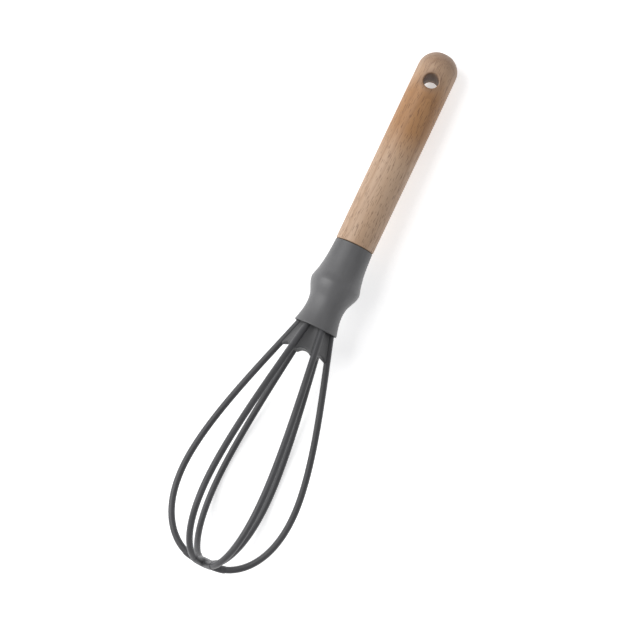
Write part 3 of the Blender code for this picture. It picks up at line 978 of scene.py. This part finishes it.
def cling(x, angle):
    """1 at a wire's side, fading to 0 in the open space between two wires."""
    nearest = min(abs((angle - leg + math.pi) % (2 * math.pi) - math.pi) for leg in leg_angles)
    aside = wire_ring_radius(x) * math.sin(min(nearest, math.pi / 2)) - WIRE_RADIUS
    return 1 / (1 + (max(aside, 0) / CLING_REACH) ** 2)


def plug_ring(body, part, angles):
    """A ring on the plug's flare: part goes from 0 in the mouth to 1 at the rim."""
    made = []
    for angle in angles:
        end = plug_start + TONGUE * (1 - cling(plug_start, angle))
        x = mouth_x + part * (end - mouth_x)
        hold = cling(x, angle)
        radius = wire_ring_radius(x) - SAG + (SAG - WIRE_CLEAR) * hold
        made.append(body.verts.new((x, *polar(radius, angle))))
    return made


def plug_face(body, rim, step, part):
    """A ring on the plug's end, moved along the axis by step and drawn in to part of its size."""
    made = []
    for vertex in rim:
        x, y, z = vertex.co
        made.append(body.verts.new((x + step, y * part, z * part)))
    return made


def make_plug():
    """The plug: its hidden end in the collar, its flare between the wires, and its dished face."""
    body = bmesh.new()
    angles = round_angles(216)
    rows = [ring(body, plug_end, 0, angles), ring(body, plug_end, bore_at(plug_end) - GAP, angles)]
    inside = mouth_x + MOUTH_STEP
    for part in (0.75, 0.5, 0.25, 0):
        x = inside + part * (plug_end - inside)
        rows.append(ring(body, x, bore_at(x) - SHADOW_GAP, angles))
    rows += [plug_ring(body, part, angles) for part in np.linspace(0, 1, 22)]
    rim = rows[-1]
    size = wire_ring_radius(plug_start)
    for turn in np.radians((22, 45, 68, 90)):
        step = -RIM_ROUND * math.sin(turn)
        rows.append(plug_face(body, rim, step, 1 - RIM_ROUND * (1 - math.cos(turn)) / size))
    rim = [vertex.co.copy() for vertex in rows[-1]]
    depth = float(np.mean([point.x for point in rim]))
    for part in np.linspace(0, 1, 14)[1:-1]:
        x = depth + DISH * math.sin(part * math.pi / 2) ** 1.2
        waves = (1 - part) ** 3
        made = [(x + (p.x - depth) * waves, p.y * (1 - part), p.z * (1 - part)) for p in rim]
        rows.append([body.verts.new(point) for point in made])
    rows.append([body.verts.new((depth + DISH, 0, 0))])
    for first, second in zip(rows, rows[1:]):
        strip(body, first, second)
    return finished("flared_neck_plug", body, PLUG_GREY)


plug = make_plug()
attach(plug, "root")
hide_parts("neck_plug")

# %% [markdown]
# ## Floor and light
# The whisk lies on a plain, almost white surface. The light is soft and comes from the picture's
# left, as the shading of the collar shows, with a weak fill from the right. A large pale world
# keeps the shadows under the wires faint.

# %% Floor
def pale_floor():
    """An almost white surface with a very faint unevenness."""
    paint = Finish("pale_surface", Emission_Color=(1, 1, 1, 1), Emission_Strength=0.5)
    cloud = paint.noise((9, 9, 9), 2.0)
    paint.set("Base Color", paint.mix(cloud, colour(244, 244, 244), colour(249, 249, 249)))
    paint.set("Roughness", 0.6 + (cloud - 0.5) * 0.1)
    return paint.material


def make_floor():
    body = bmesh.new()
    bmesh.ops.create_grid(body, x_segments=8, y_segments=8, size=2.5)
    mesh = bpy.data.meshes.new("floor")
    body.to_mesh(mesh)
    body.free()
    mesh.materials.append(pale_floor())
    floor = bpy.data.objects.new("floor", mesh)
    bpy.context.scene.collection.objects.link(floor)
    floor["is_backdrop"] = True


make_floor()


# %% Lights
def soft_light(name, place, size, power):
    """A square soft box at a place, facing the whisk."""
    lamp = bpy.data.lights.new(name, "AREA")
    lamp.size = size
    lamp.energy = power
    light = bpy.data.objects.new(name, lamp)
    light.location = place
    light.rotation_euler = (aim - place).to_track_quat("-Z", "Y").to_euler()
    bpy.context.scene.collection.objects.link(light)


def make_world(strength):
    world = bpy.data.worlds.new("pale_room")
    world.use_nodes = True
    background = world.node_tree.nodes["Background"]
    background.inputs["Color"].default_value = colour(250, 250, 252)
    background.inputs["Strength"].default_value = strength
    bpy.context.scene.world = world


left = -picture_right
above = Vector((0, 0, 1))
soft_light("key", aim + left * 0.9 + picture_up * 0.35 + above * 0.9, 1.3, 18)
soft_light("fill", aim - left * 1.2 + above * 1.2, 1.2, 1.5)
make_world(0.42)
bpy.context.scene.view_settings.view_transform = "Standard"

# %% [markdown]
# ## Sizes
# The CAD model's box and the visual model's box are gathered side by side, and the visual one is printed.

# %% The sizes, at the end
visual_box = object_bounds()
plain = {"cad": cad_box, "visual": visual_box}
plain = {name: [[float(value) for value in end] for end in ends] for name, ends in plain.items()}
print("visual box", [[round(value, 4) for value in end] for end in plain["visual"]])
